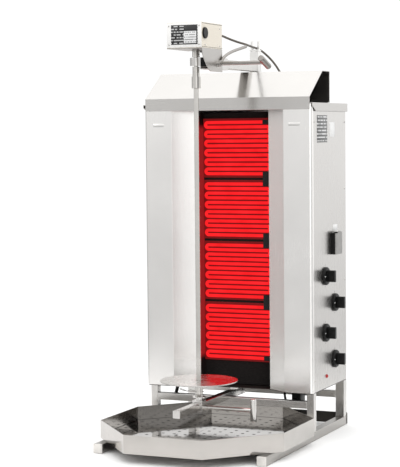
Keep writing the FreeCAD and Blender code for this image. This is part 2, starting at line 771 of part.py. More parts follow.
def octagon(inset):
    """Plan outline of the drip tray, moved inwards by inset."""
    half = dim("tray_half") - inset
    front = dim("tray_front") + inset
    back = dim("tray_back") - inset
    lean = math.hypot(dim("tray_cut_x"), dim("tray_cut_y"))
    cut_x = dim("tray_cut_x") + inset * ((lean - dim("tray_cut_x")) / dim("tray_cut_y") - 1)
    cut_y = dim("tray_cut_y") + inset * ((lean - dim("tray_cut_y")) / dim("tray_cut_x") - 1)
    return [
        (half - cut_x, front), (half, front + cut_y), (half, back - cut_y), (half - cut_x, back),
        (cut_x - half, back), (-half, back - cut_y), (-half, front + cut_y), (cut_x - half, front)]


def build_tray():
    sheet_thick = 1.6
    body = padded("XY_Plane", "tray_top - tray_low", ("0", "0", "tray_low"), octagon(0))
    room = padded("XY_Plane", "tray_top - tray_low", ("0", "0", f"tray_low + {sheet_thick}"),
                  octagon(sheet_thick))
    node("drip_tray", cut(body, room))
    for side, name in ((-1, "left"), (1, "right")):
        node(f"drain_plate_{name}", drain_plate(side, f"tray_low + {sheet_thick}"))


def drain_plate(side, floor):
    """The perforated plate on one side of the seam, on four short feet."""
    level = dim("tray_low") + 9
    seam = dim("plate_seam")
    inner = octagon(4)
    near = seam + side * 0.4
    front, back = inner[0][1], inner[3][1]
    outline = [(x, y) for x, y in inner if side * (x - near) > 0]
    outline += [(near, back), (near, front)]
    middle = (front + back) / 2
    outline.sort(key=lambda p: math.atan2(p[1] - middle, p[0] - seam - side * 100))
    base = padded("XY_Plane", 1.2, ("0", "0", level), outline)
    drills = []
    first_y = -22.9 - 6 * dim("row_pitch")
    for column in range(10):
        x = seam + side * (20 + column * dim("column_pitch"))
        for row in range(17):
            y = first_y + row * dim("row_pitch")
            if hole_fits(x, y, inner):
                drills.append(Part.makeCylinder(dim("hole_radius"), 10, V(x, y, level - 5)))
    tool = formed(Part.makeCompound(drills))
    feet = []
    for x, y in ((60, -150), (60, 250), (200, -30), (200, 150)):
        feet.append(block((side * x - 4, y - 4, floor), (side * x + 4, y + 4, level)))
    return join(cut(base, tool), *feet)


def hole_fits(x, y, outline):
    """Whether a drain hole at x, y stays clear of the plate's edge."""
    margin = dim("hole_radius") + 6
    for (ax, ay), (bx, by) in zip(outline, outline[1:] + outline[:1]):
        size = math.hypot(bx - ax, by - ay)
        if ((bx - ax) * (y - ay) - (by - ay) * (x - ax)) / size < margin:
            return False
    return True


# Cord ---------------------------------------------------------------------

CORD_ROUTE = [
    V(40, 41, 1100), V(42, 72, 1098), V(49, 110, 1090), V(58, 150, 1083), V(62, 192, 1079.5),
    V(52, 236, 1078.8), V(39, 282, 1079.6), V(23, 328, 1080.8), V(13, 374, 1080.5),
    V(15, 412, 1077), V(27, 440, 1061), V(45, 455, 1037), V(62, 460, 1008), V(76, 460, 978),
    V(88, 457, 952), V(92, 455, 930)]
ROD_ROUTE = [
    V(66.4, 15.5, 1024), V(66.4, 22, 1033), V(66.4, 36, 1040.5), V(66.4, 58, 1048),
    V(66.4, 86, 1055), V(66.4, 117, 1061), V(66.4, 150, 1066.5), V(66.4, 184, 1072.5)]


def build_cord():
    node("motor_cord", formed(bent_tube(CORD_ROUTE, dim("cord_radius"))))
    support = formed(bent_tube(ROD_ROUTE, dim("rod_radius")))
    node("cord_support", support)
    node("roof_gland", turned([
        (3.05, -6), (5.8, -6), (5.8, 0), (10, 0), (10, 5), (7, 10), (3.05, 10)],
        "Z", (*ROOF_GLAND, "roof_top")))


build_frame()
build_cabinet()
build_heaters()
build_controls()
arm_cap = build_post_and_arm()
build_carriage()
clamp_screw("8.4", "upper_grip_x", UPPER_SCREW_Y, UPPER_SCREW_Z, 70, "upper_clamp_screw")
clamp_screw("lower_side / 2 + 0.8", "lower_grip_x", 0, LOWER_SCREW_Z, 0, "lower_clamp_screw")
build_motor()
build_spit()
build_lower_arm(arm_cap)
build_foot()
build_tray()
build_cord()

doc.recompute()
for thing in doc.Objects:
    if "Invalid" in thing.State or "Error" in thing.State:
        raise RuntimeError(f"{thing.Name} ({thing.Label}) failed: {thing.State}")
for thing in NODES:
    if thing.Shape.isNull() or not thing.Shape.isValid():
        raise RuntimeError(f"{thing.Label} has a bad shape")
for thing in NODES:
    thing.Shape.exportStep(f"parts/{thing.Label}.step")
print(len(NODES), "sub-parts")
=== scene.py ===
"""Looks of an upright electric gyros grill, on the frame of its CAD model.

Everything is in metres in the CAD's own frame: +Z up, the operator at -Y,
the spit axis at X 0, Y -0.133. Places come from the CAD boxes where they can.
"""

import math

import bmesh
import bpy
from mathutils import Matrix, Vector


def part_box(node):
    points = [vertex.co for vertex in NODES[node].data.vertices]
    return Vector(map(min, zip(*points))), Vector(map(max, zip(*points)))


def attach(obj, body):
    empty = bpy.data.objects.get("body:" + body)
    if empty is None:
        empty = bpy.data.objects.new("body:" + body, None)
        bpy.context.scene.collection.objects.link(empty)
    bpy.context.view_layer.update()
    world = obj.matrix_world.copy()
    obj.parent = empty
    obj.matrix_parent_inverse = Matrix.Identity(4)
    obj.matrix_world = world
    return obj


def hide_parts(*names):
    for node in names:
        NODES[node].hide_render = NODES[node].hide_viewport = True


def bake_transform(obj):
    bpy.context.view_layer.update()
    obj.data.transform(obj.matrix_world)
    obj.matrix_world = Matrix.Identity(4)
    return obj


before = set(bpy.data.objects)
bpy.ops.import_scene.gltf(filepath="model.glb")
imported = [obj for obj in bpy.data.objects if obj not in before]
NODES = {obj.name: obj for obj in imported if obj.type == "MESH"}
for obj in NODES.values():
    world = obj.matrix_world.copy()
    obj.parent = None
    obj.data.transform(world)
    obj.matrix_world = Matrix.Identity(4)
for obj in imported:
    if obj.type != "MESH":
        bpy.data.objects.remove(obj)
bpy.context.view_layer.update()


# Camera and cord ----------------------------------------------------------


CAMERA_AT = (1.7166, -4.0055, 0.8443)
CAMERA_TURN, CAMERA_DIP, CAMERA_ROLL = 23.82, 3.62, -0.53
CAMERA_LENS = 124.1


def add_camera():
    """A long lens from the right, a little above the middle."""
    turn, dip, roll = (math.radians(a) for a in (CAMERA_TURN, CAMERA_DIP, CAMERA_ROLL))
    ahead = Vector(
        (-math.sin(turn) * math.cos(dip), math.cos(turn) * math.cos(dip), -math.sin(dip)))
    level = Vector((math.cos(turn), math.sin(turn), 0))
    above = level.cross(ahead)
    right = level * math.cos(roll) + above * math.sin(roll)
    up = above * math.cos(roll) - level * math.sin(roll)
    data = bpy.data.cameras.new("camera")
    data.lens = CAMERA_LENS
    camera = bpy.data.objects.new("camera", data)
    bpy.context.scene.collection.objects.link(camera)
    turned = Matrix((right, up, -ahead)).transposed().to_4x4()
    camera.matrix_world = Matrix.Translation(CAMERA_AT) @ turned
    bpy.context.scene.camera = camera


CORD_RADIUS = 0.003
CORD_ROUTE = [
    (0.040, -0.092, 1.1000), (0.042, -0.061, 1.0980), (0.049, -0.023, 1.0900),
    (0.058, 0.017, 1.0830), (0.062, 0.059, 1.0795), (0.052, 0.103, 1.0788),
    (0.039, 0.149, 1.0796), (0.023, 0.195, 1.0808), (0.013, 0.241, 1.0805),
    (0.015, 0.279, 1.0770), (0.027, 0.307, 1.0610), (0.045, 0.322, 1.0370),
    (0.062, 0.327, 1.0080), (0.076, 0.327, 0.9780), (0.088, 0.324, 0.9520),
    (0.092, 0.322, 0.9300)]
SUPPORT_ROUTE = [
    (0.0664, -0.1175, 1.0240), (0.0664, -0.1110, 1.0330), (0.0664, -0.0970, 1.0405),
    (0.0664, -0.0750, 1.0480), (0.0664, -0.0470, 1.0550), (0.0664, -0.0160, 1.0610),
    (0.0664, 0.0170, 1.0665), (0.0664, 0.0510, 1.0725)]


def smooth_line(points):
    """Points along the order-3 NURBS spline that a route controls."""
    curve = bpy.data.curves.new("route", "CURVE")
    curve.dimensions = "3D"
    curve.resolution_u = 12
    spline = curve.splines.new("NURBS")
    spline.points.add(len(points) - 1)
    for point, place in zip(spline.points, points):
        point.co = (*place, 1)
    spline.order_u = 3
    spline.use_endpoint_u = True
    holder = bpy.data.objects.new("route", curve)
    bpy.context.scene.collection.objects.link(holder)
    bpy.context.view_layer.update()
    mesh = bpy.data.meshes.new_from_object(holder)
    line = [vertex.co.copy() for vertex in mesh.vertices]
    bpy.data.objects.remove(holder)
    bpy.data.curves.remove(curve)
    bpy.data.meshes.remove(mesh)
    return line


def new_object(name, mesh, smooth=True):
    """A named mesh object in the scene."""
    if smooth:
        mesh.polygons.foreach_set("use_smooth", [True] * len(mesh.polygons))
    thing = bpy.data.objects.new(name, mesh)
    bpy.context.scene.collection.objects.link(thing)
    return thing


def tube_mesh(name, line, radius, sides=16, taper=None):
    """A closed round tube along a line; taper(t) scales its radius."""
    mesh = bmesh.new()
    rings = []
    side = None
    for index, here in enumerate(line):
        before = line[max(index - 1, 0)]
        after = line[min(index + 1, len(line) - 1)]
        heading = (after - before).normalized()
        if side is None:
            side = heading.orthogonal().normalized()
        side = (side - heading * side.dot(heading)).normalized()
        across = heading.cross(side)
        width = radius * (taper(index / (len(line) - 1)) if taper else 1)
        ring = []
        for step in range(sides):
            angle = 2 * math.pi * step / sides
            offset = side * math.cos(angle) + across * math.sin(angle)
            ring.append(mesh.verts.new(here + offset * width))
        rings.append(ring)
    for lower, upper in zip(rings, rings[1:]):
        for step in range(sides):
            after = (step + 1) % sides
            mesh.faces.new((lower[step], lower[after], upper[after], upper[step]))
    mesh.faces.new(rings[0][::-1])
    mesh.faces.new(rings[-1])
    data = bpy.data.meshes.new(name)
    mesh.to_mesh(data)
    mesh.free()
    return data


# Materials ----------------------------------------------------------------


class Look:
    """A procedural material: one Principled shader and its texture nodes."""

    def __init__(self, name, colour, rough, metal=0.0, **sockets):
        self.material = bpy.data.materials.new(name)
        self.material.use_nodes = True
        self.tree = self.material.node_tree
        self.shader = self.tree.nodes["Principled BSDF"]
        self.shader.inputs["Base Color"].default_value = (*colour, 1)
        self.shader.inputs["Roughness"].default_value = rough
        self.shader.inputs["Metallic"].default_value = metal
        for socket, value in sockets.items():
            self.shader.inputs[socket.replace("_", " ")].default_value = value

    def add(self, kind, **settings):
        """A node with its settings; inputs are given by their names."""
        made = self.tree.nodes.new(kind)
        for key, value in settings.items():
            if hasattr(made, key):
                setattr(made, key, value)
            else:
                made.inputs[key.replace("_", " ")].default_value = value
        return made

    def join(self, source, target):
        """Link one socket to another."""
        self.tree.links.new(source, target)

    def noise(self, stretch, detail=2.0, rough=0.5):
        """Noise in the object's own metres, stretched per axis."""
        place = self.add("ShaderNodeTexCoord")
        scale = self.add("ShaderNodeMapping")
        scale.inputs["Scale"].default_value = stretch
        grain = self.add("ShaderNodeTexNoise", Scale=1.0, Detail=detail, Roughness=rough)
        self.join(place.outputs["Object"], scale.inputs["Vector"])
        self.join(scale.outputs["Vector"], grain.inputs["Vector"])
        return grain.outputs["Fac"]

    def ramp(self, value, low, high, start=0.3, end=0.7):
        """Map a value in start..end onto low..high."""
        span = self.add("ShaderNodeMapRange")
        ends = {"From Min": start, "From Max": end, "To Min": low, "To Max": high}
        for socket, number in ends.items():
            span.inputs[socket].default_value = number
        self.join(value, span.inputs["Value"])
        return span.outputs["Result"]

    def tint(self, value, first, second, start=0.3, end=0.7):
        """Colour that goes from first to second with a value."""
        mix = self.add("ShaderNodeMix", data_type="RGBA")
        mix.inputs[6].default_value = (*first, 1)
        mix.inputs[7].default_value = (*second, 1)
        self.join(self.ramp(value, 0.0, 1.0, start, end), mix.inputs[0])
        self.join(mix.outputs[2], self.shader.inputs["Base Color"])
        return mix

    def bump(self, value, strength, distance):
        """Relief from a value."""
        relief = self.add("ShaderNodeBump", Strength=strength, Distance=distance)
        self.join(value, relief.inputs["Height"])
        self.join(relief.outputs["Normal"], self.shader.inputs["Normal"])


GRAIN = {"X": (6, 900, 900), "Y": (900, 6, 900), "Z": (900, 900, 6)}


def brushed(name, axis, colour=(0.63, 0.615, 0.595), rough=0.28):
    """Brushed stainless sheet with its grain along one axis."""
    look = Look(name, colour, rough, metal=1.0)
    grain = look.noise(GRAIN[axis], detail=3.0, rough=0.7)
    cloud = look.noise((5, 5, 5), detail=4.0, rough=0.6)
    darker = tuple(c * 0.93 for c in colour)
    look.tint(cloud, darker, colour)
    both = look.add("ShaderNodeMath", operation="ADD")
    look.join(look.ramp(grain, rough - 0.015, rough + 0.02), both.inputs[0])
    look.join(look.ramp(cloud, -0.02, 0.02), both.inputs[1])
    look.join(both.outputs[0], look.shader.inputs["Roughness"])
    look.bump(grain, 0.007, 0.0001)
    return look.material


def smeared(material, amount):
    """Reflections drawn out across a grain that runs along X."""
    tree = material.node_tree
    shader = tree.nodes["Principled BSDF"]
    shader.inputs["Anisotropic"].default_value = amount
    shader.inputs["Anisotropic Rotation"].default_value = 0.25
    along = tree.nodes.new("ShaderNodeCombineXYZ")
    along.inputs["X"].default_value = 1.0
    tree.links.new(along.outputs[0], shader.inputs["Tangent"])
    return material


def polished(name, colour=(0.66, 0.645, 0.625), rough=0.12):
    """Bright steel with faint smears and fine scratches."""
    look = Look(name, colour, rough, metal=1.0)
    smear = look.noise((18, 18, 18), detail=5.0, rough=0.6)
    scratch = look.noise((1500, 300, 1500), detail=1.0)
    look.tint(smear, tuple(c * 0.9 for c in colour), colour)
    look.join(look.ramp(smear, rough * 0.8, rough * 1.5), look.shader.inputs["Roughness"])
    look.bump(scratch, 0.015, 0.0001)
    return look.material


def plastic(name, colour, rough, grain=900):
    """Moulded plastic with a fine spark-eroded texture."""
    look = Look(name, colour, rough, Specular_IOR_Level=0.2)
    fine = look.noise((grain, grain, grain), detail=1.0)
    cloud = look.noise((30, 30, 30), detail=3.0)
    look.tint(cloud, tuple(c * 0.8 for c in colour), tuple(min(1, c * 1.2) for c in colour))
    look.join(look.ramp(cloud, rough - 0.06, rough + 0.06), look.shader.inputs["Roughness"])
    look.bump(fine, 0.15, 0.0002)
    return look.material


def glowing(name):
    """Red-hot heater tube, a little uneven along its length."""
    look = Look(name, (0.02, 0.004, 0.004), 0.8, Specular_IOR_Level=0.0)
    uneven = look.noise((22, 22, 60), detail=2.0)
    mix = look.tint(uneven, (0.80, 0.010, 0.013), (1.0, 0.017, 0.022))
    look.tree.links.remove(look.shader.inputs["Base Color"].links[0])
    look.join(mix.outputs[2], look.shader.inputs["Emission Color"])
    look.shader.inputs["Emission Strength"].default_value = 1.15
    look.bump(look.noise((700, 700, 700), detail=2.0), 0.2, 0.0003)
    return look.material


def heat_stained_with_glow(name, colour=(0.010, 0.008, 0.008), rough=0.6, glow=0.0):
    """Dark oxidised steel around the heaters, with a painted red glow that stands in for the
    heaters' light on it.
    """
    look = Look(name, colour, rough, Specular_IOR_Level=0.08)
    cloud = look.noise((14, 14, 14), detail=6.0, rough=0.65)
    look.tint(cloud, tuple(c * 0.5 for c in colour), tuple(c * 1.8 for c in colour))
    look.join(look.ramp(cloud, rough - 0.12, rough + 0.15), look.shader.inputs["Roughness"])
    look.bump(cloud, 0.2, 0.0006)
    # Painted light: a red emission of the given strength, in place of the heaters' light falling
    # on this steel.
    look.shader.inputs["Emission Color"].default_value = (1.0, 0.03, 0.035, 1)
    look.shader.inputs["Emission Strength"].default_value = glow
    return look.material


def lit_between(material, node, start, end, glow):
    """Heater light that falls on a node between two heights."""
    tree = material.node_tree
    low, high = (corner[2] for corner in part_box(node))
    place = tree.nodes.new("ShaderNodeTexCoord")
    split = tree.nodes.new("ShaderNodeSeparateXYZ")
    tree.links.new(place.outputs["Generated"], split.inputs[0])
    both = tree.nodes.new("ShaderNodeMath")
    both.operation = "MULTIPLY"
    for slot, (edge, soft) in enumerate(((start, 0.015), (end, -0.015))):
        span = tree.nodes.new("ShaderNodeMapRange")
        span.inputs["From Min"].default_value = (edge - low) / (high - low)
        span.inputs["From Max"].default_value = (edge + soft - low) / (high - low)
        span.inputs["To Max"].default_value = glow if slot else 1.0
        tree.links.new(split.outputs["Z"], span.inputs["Value"])
        tree.links.new(span.outputs["Result"], both.inputs[slot])
    # Only the faces that look inwards are lit.
    inwards = tree.nodes.new("ShaderNodeMapRange")
    inwards.inputs["To Min"].default_value = 1.0
    inwards.inputs["To Max"].default_value = -1.0
    tree.links.new(split.outputs["X"], inwards.inputs["Value"])
    middle = tree.nodes.new("ShaderNodeCombineXYZ")
    middle.inputs["Y"].default_value = -1.0
    tree.links.new(inwards.outputs["Result"], middle.inputs["X"])
    dot = tree.nodes.new("ShaderNodeVectorMath")
    dot.operation = "DOT_PRODUCT"
    tree.links.new(middle.outputs[0], dot.inputs[0])
    tree.links.new(place.outputs["Normal"], dot.inputs[1])
    lit = tree.nodes.new("ShaderNodeMath")
    lit.operation = "GREATER_THAN"
    lit.inputs[1].default_value = 0.5
    tree.links.new(dot.outputs["Value"], lit.inputs[0])
    glowing_part = tree.nodes.new("ShaderNodeMath")
    glowing_part.operation = "MULTIPLY"
    tree.links.new(both.outputs[0], glowing_part.inputs[0])
    tree.links.new(lit.outputs[0], glowing_part.inputs[1])
    strength = tree.nodes["Principled BSDF"].inputs["Emission Strength"]
    tree.links.new(glowing_part.outputs[0], strength)
    return material


def enamel(name, colour):
    """Baked paint with a faint orange-peel surface."""
    look = Look(name, colour, 0.3, Coat_Weight=0.3, Coat_Roughness=0.12)
    peel = look.noise((240, 240, 240), detail=1.0)
    cloud = look.noise((10, 10, 10), detail=3.0)
    look.tint(cloud, tuple(c * 0.95 for c in colour), colour)
    look.join(look.ramp(cloud, 0.26, 0.36), look.shader.inputs["Roughness"])
    look.bump(peel, 0.08, 0.0003)
    return look.material


def cast_metal(name, colour):
    """Sand-cast housing."""
    look = Look(name, colour, 0.55, metal=0.7)
    grit = look.noise((500, 500, 500), detail=4.0)
    look.tint(grit, tuple(c * 0.7 for c in colour), tuple(c * 1.2 for c in colour))
    look.bump(grit, 0.5, 0.0006)
    return look.material


def mineral_board(name):
    """Pressed mineral-fibre board."""
    look = Look(name, (0.014, 0.012, 0.011), 0.95, Specular_IOR_Level=0.1)
    fibre = look.noise((120, 40, 700), detail=5.0)
    look.tint(fibre, (0.008, 0.007, 0.007), (0.018, 0.016, 0.015))
    look.bump(fibre, 0.6, 0.001)
    return look.material


def printed(name, ground, ink, rows, side):
    """A plate with rows of dashes in place of print; side is the row axis."""
    look = Look(name, ground, 0.35)
    place = look.add("ShaderNodeTexCoord")
    parts = look.add("ShaderNodeSeparateXYZ")
    look.join(place.outputs["Generated"], parts.inputs[0])
    along = parts.outputs[side]
    high = parts.outputs["Z"]
    steps = look.add("ShaderNodeMath", operation="MULTIPLY")
    steps.inputs[1].default_value = rows
    look.join(high, steps.inputs[0])
    phase = look.add("ShaderNodeMath", operation="FRACT")
    look.join(steps.outputs[0], phase.inputs[0])
    row = look.add("ShaderNodeMath", operation="FLOOR")
    look.join(steps.outputs[0], row.inputs[0])
    band = look.add("ShaderNodeMath", operation="COMPARE")
    band.inputs[1].default_value = 0.5
    band.inputs[2].default_value = 0.2
    look.join(phase.outputs[0], band.inputs[0])
    spot = look.add("ShaderNodeCombineXYZ")
    look.join(along, spot.inputs["X"])
    look.join(row.outputs[0], spot.inputs["Y"])
    words = look.add("ShaderNodeTexNoise", Scale=9.0, Detail=0.0)
    look.join(spot.outputs[0], words.inputs["Vector"])
    dash = look.add("ShaderNodeMath", operation="GREATER_THAN")
    dash.inputs[1].default_value = 0.46
    look.join(words.outputs["Fac"], dash.inputs[0])
    inked = look.add("ShaderNodeMath", operation="MULTIPLY")
    look.join(band.outputs[0], inked.inputs[0])
    look.join(dash.outputs[0], inked.inputs[1])
    look.tint(inked.outputs[0], ground, ink, 0.0, 1.0)
    look.bump(look.noise((300, 300, 300)), 0.04, 0.0001)
    return look.material


STEEL_X = brushed("steel_grain_x", "X")
STEEL_Y = brushed("steel_grain_y", "Y")
STEEL_Z = brushed("steel_grain_z", "Z")
# Painted light and shade: the steel tones below are set part by part for brightness alone, as lit
# and shaded copies of one steel; the wings and post are painted much paler than the side panels'
# steel, and the roof, tray, rim, carriage and skids darker.
HOOD_STEEL = smeared(brushed("hood_steel", "X", (0.62, 0.605, 0.585), 0.25), 0.85)
TRAY_STEEL = polished("tray_steel", (0.50, 0.48, 0.46), 0.05)
RIM_STEEL = polished("rim_steel", (0.52, 0.50, 0.475), 0.10)
WING_STEEL = brushed("wing_steel", "Z", (0.92, 0.905, 0.885), 0.25)
ROOF_STEEL = brushed("roof_steel", "X", (0.55, 0.535, 0.515), 0.28)
SKID_STEEL = brushed("skid_steel", "Y", (0.42, 0.405, 0.385), 0.32)
CARRIAGE_STEEL = brushed("carriage_steel", "Z", (0.46, 0.445, 0.425), 0.30)
# Painted shade: nearly black steel on the base pan and rear base plate, standing in for the shade
# under the cabinet.
PAINTED_SHADE_STEEL = brushed("painted_shade_steel", "X", (0.07, 0.065, 0.06), 0.45)
POST_STEEL = brushed("post_steel", "Z", (0.86, 0.85, 0.83), 0.35)
DISC_STEEL = polished("disc_steel", (0.60, 0.585, 0.565), 0.22)
BRIGHT = polished("bright_steel")
SPIT_STEEL = polished("spit_steel", (0.64, 0.62, 0.59), 0.2)
BLACK = plastic("black_phenolic", (0.004, 0.004, 0.004), 0.4)
GREY = plastic("grey_plastic", (0.30, 0.295, 0.285), 0.4)
CAP = plastic("cap_plastic", (0.62, 0.60, 0.57), 0.45)
GLOW = glowing("heater_glow")
# The lowest and highest glowing heater.
HEATED = (0.205, 0.865)
# Painted light: the casing's inward faces glow red between the lowest and highest heater, in place
# of the heaters' light on them; the dark oxide is the casing's own.
STAINED_AND_GLOW = lit_between(heat_stained_with_glow("stained_steel_painted_glow"), "heater_casing", *HEATED, 0.28)
# Painted light: the reflectors glow faintly red all over, in place of the heaters' light falling
# on them.
REFLECTOR_PAINTED_GLOW = heat_stained_with_glow("reflector_painted_glow", (0.03, 0.006, 0.006), 0.5, 0.15)
CERAMIC = plastic("black_ceramic", (0.010, 0.010, 0.010), 0.6, 500)
BOARD = mineral_board("mineral_board")
MOTOR_WHITE = enamel("motor_enamel", (0.82, 0.75, 0.63))
CAST = cast_metal("gearbox_cast", (0.25, 0.25, 0.26))
# Painted shade: the rods' steel is painted darker than the rest for brightness alone.
ROD = polished("rod_steel", (0.34, 0.32, 0.30), 0.25)
CORD = plastic("cord_sheath", (0.14, 0.122, 0.105), 0.5, 1500)
# Painted light: the front cover's enamel is whiter than the housing's cream, standing in for the
# stronger light on the front.
COVER_PAINTED_LIT = enamel("cover_enamel_painted_lit", (0.93, 0.92, 0.90))
SEAM = plastic("seam_gap", (0.02, 0.018, 0.016), 0.8)
LENS = plastic("red_lens", (0.42, 0.03, 0.03), 0.2)
PLATE_DARK = printed("plate_dark", (0.012, 0.012, 0.012), (0.55, 0.55, 0.55), 7, "X")
PLATE_PALE = printed("plate_pale", (0.80, 0.80, 0.80), (0.30, 0.30, 0.30), 5, "X")
PLATE_BLANK = enamel("plate_blank", (0.02, 0.02, 0.02))
PLATE_WHITE = enamel("plate_white", (0.88, 0.88, 0.87))
PLATE_SIDE = printed("plate_side", (0.10, 0.10, 0.10), (0.75, 0.75, 0.75), 8, "Y")
WHITE_INK = plastic("white_ink", (0.85, 0.85, 0.84), 0.5)

NODE_LOOKS = {
    "skid_left": SKID_STEEL, "skid_right": SKID_STEEL, "skid_caps": CAP, "front_legs": STEEL_Z,
    "rear_legs": STEEL_Z, "crossbars": STEEL_X, "rear_base_plate": PAINTED_SHADE_STEEL,
    "front_wing_left": WING_STEEL, "front_wing_right": WING_STEEL, "base_pan": PAINTED_SHADE_STEEL,
    "side_panel_left": STEEL_Z, "side_panel_right": STEEL_Z, "rear_cover": STEEL_Z,
    "roof_cap": ROOF_STEEL, "hood": HOOD_STEEL, "heater_casing": STAINED_AND_GLOW,
    "insulation_board": BOARD, "heater_1": GLOW, "heater_2": GLOW, "heater_3": GLOW,
    "heater_4": GLOW, "reflectors": REFLECTOR_PAINTED_GLOW, "heater_terminals": CERAMIC, "regulators": BLACK,
    "switch_housing": BLACK, "switch_frame": BLACK, "post": POST_STEEL, "cord_fork": POST_STEEL,
    "upper_arm": STEEL_Y, "arm_caps": BRIGHT, "lower_arm": BRIGHT, "roof_gland": BLACK,
    "motor_cord": CORD, "carriage_bracket": CARRIAGE_STEEL, "carriage_sleeve": STEEL_Y,
    "steady_collar": BRIGHT, "clamp_block": BLACK, "motor_housing": MOTOR_WHITE,
    "gear_motor": CAST, "motor_gland": BLACK, "cord_support": ROD,
    "upper_clamp_screw": ROD, "motor_knob": BLACK, "spit_bar": SPIT_STEEL,
    "spit_head": SPIT_STEEL, "drive_coupling": SPIT_STEEL, "meat_disc": DISC_STEEL,
    "disc_hub": SPIT_STEEL, "foot_clamp": BRIGHT, "foot_cup": BRIGHT,
    "lower_clamp_screw": BRIGHT, "knob_1": BLACK, "knob_2": BLACK, "knob_3": BLACK,
    "knob_4": BLACK, "switch_lid": GREY, "switch_rocker": BLACK, "drip_tray": RIM_STEEL,
    "drain_plate_left": TRAY_STEEL, "drain_plate_right": TRAY_STEEL}

# Width of the rounding on each node's edges; nodes not named get the small one.
ROUNDED = {
    "skid_left": 0.0022, "skid_right": 0.0022, "front_legs": 0.0018, "rear_legs": 0.0022,
    "crossbars": 0.0018, "post": 0.0022, "upper_arm": 0.0022, "lower_arm": 0.0018,
    "carriage_sleeve": 0.0012, "hood": 0.0007, "roof_cap": 0.0008, "front_wing_left": 0.0007,
    "front_wing_right": 0.0007, "carriage_bracket": 0.0007, "foot_clamp": 0.0012,
    "switch_lid": 0.001, "switch_housing": 0.0015, "spit_bar": 0.0010, "drip_tray": 0.0005,
    "skid_caps": 0.0012, "steady_collar": 0.0015, "clamp_block": 0.0012}
# Folded sheets, whose shallow folds are rounded too.
SHEETS = ("front_wing_left", "front_wing_right", "hood", "roof_cap", "drip_tray")
PLAIN = ("drain_plate_left", "drain_plate_right", "insulation_board", "regulators", "gear_motor",
         "side_panel_right", "rear_cover")


def finish_node(name, look):
    """Give a CAD node its material, rounded edges and smooth shading."""
    node = NODES[name]
    node.data.materials.clear()
    node.data.materials.append(look)
    weld = node.modifiers.new("weld", "WELD")
    weld.merge_threshold = 0.00001
    node.data.polygons.foreach_set("use_smooth", [True] * len(node.data.polygons))
    if name in PLAIN:
        split = node.modifiers.new("creases", "EDGE_SPLIT")
        split.split_angle = math.radians(30)
        return
    bevel = node.modifiers.new("rounded", "BEVEL")
    bevel.limit_method = "ANGLE"
    bevel.angle_limit = math.radians(4 if name in SHEETS else 32)
    bevel.width = ROUNDED.get(name, 0.0004)
    bevel.segments = 3 if name in ROUNDED else 2
    bevel.use_clamp_overlap = True
    even = node.modifiers.new("flat_faces", "WEIGHTED_NORMAL")
    even.weight = 100
    even.keep_sharp = True


# Added pieces -------------------------------------------------------------


def add_piece(name, mesh, look, body, smooth=True):
    """A new piece; it rides on a body when one is given."""
    piece = new_object(name, mesh, smooth)
    mesh.materials.append(look)
    if body:
        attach(piece, body)
    return piece


def turned_mesh(name, profile, sides=32):
    """A closed shape turned about +Z from (radius, height) pairs."""
    mesh = bmesh.new()
    rings = []
    for radius, height in profile:
        if radius < 1e-7:
            rings.append([mesh.verts.new((0, 0, height))])
            continue
        ring = []
        for step in range(sides):
            angle = 2 * math.pi * step / sides
            ring.append(mesh.verts.new(
                (radius * math.cos(angle), radius * math.sin(angle), height)))
        rings.append(ring)
    for lower, upper in zip(rings, rings[1:]):
        for step in range(sides):
            after = (step + 1) % sides
            if len(lower) == 1:
                mesh.faces.new((lower[0], upper[after], upper[step]))
            elif len(upper) == 1:
                mesh.faces.new((lower[step], lower[after], upper[0]))
            else:
                mesh.faces.new((lower[step], lower[after], upper[after], upper[step]))
    bmesh.ops.recalc_face_normals(mesh, faces=mesh.faces)
    data = bpy.data.meshes.new(name)
    mesh.to_mesh(data)
    mesh.free()
    return data


def facing(axis):
    """Rotation that turns +Z to an axis of the frame."""
    return Vector((0, 0, 1)).rotation_difference(Vector(axis)).to_matrix().to_4x4()


def add_screws(name, spots, axis, radius, body):
    """Domed screws with a dimple at several spots, all facing one way."""
    mesh = bmesh.new()
    shape = ((1, 0), (1, 0.25), (0.8, 0.5), (0.45, 0.62), (0.28, 0.3), (0, 0.25))
    profile = [(radius * across, radius * height) for across, height in shape]
    for spot in spots:
        part = turned_mesh("screw", profile, 20)
        part.transform(Matrix.Translation(spot) @ facing(axis))
        mesh.from_mesh(part)
        bpy.data.meshes.remove(part)
    data = bpy.data.meshes.new(name)
    mesh.to_mesh(data)
    mesh.free()
    add_piece(name, data, BRIGHT, body)


def plate_mesh(name, low, high, rounding=0.0004):
    """A box between two corners with rounded edges."""
    mesh = bmesh.new()
    bmesh.ops.create_cube(mesh, size=1)
    middle = (Vector(low) + Vector(high)) / 2
    size = Vector(high) - Vector(low)
    for vertex in mesh.verts:
        vertex.co = Vector(c * s + m for c, s, m in zip(vertex.co, size, middle))
    bmesh.ops.bevel(
        mesh, geom=mesh.edges[:], offset=rounding, segments=2, affect="EDGES", profile=0.5)
    data = bpy.data.meshes.new(name)
    mesh.to_mesh(data)
    mesh.free()
    return data


def add_cord():
    """The motor's cord, over the fork and down into the roof gland."""
    line = smooth_line(CORD_ROUTE)
    cord = add_piece(
        "motor_cord_run", tube_mesh("motor_cord_run", line, CORD_RADIUS), CORD, None)
    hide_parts("motor_cord")
    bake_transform(cord)


def add_cord_support():
    """The curved rod that carries the cord."""
    line = smooth_line(SUPPORT_ROUTE)
    rod = add_piece("support_rod", tube_mesh("support_rod", line, 0.004, 20), ROD,
                    "carriage")
    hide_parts("cord_support")


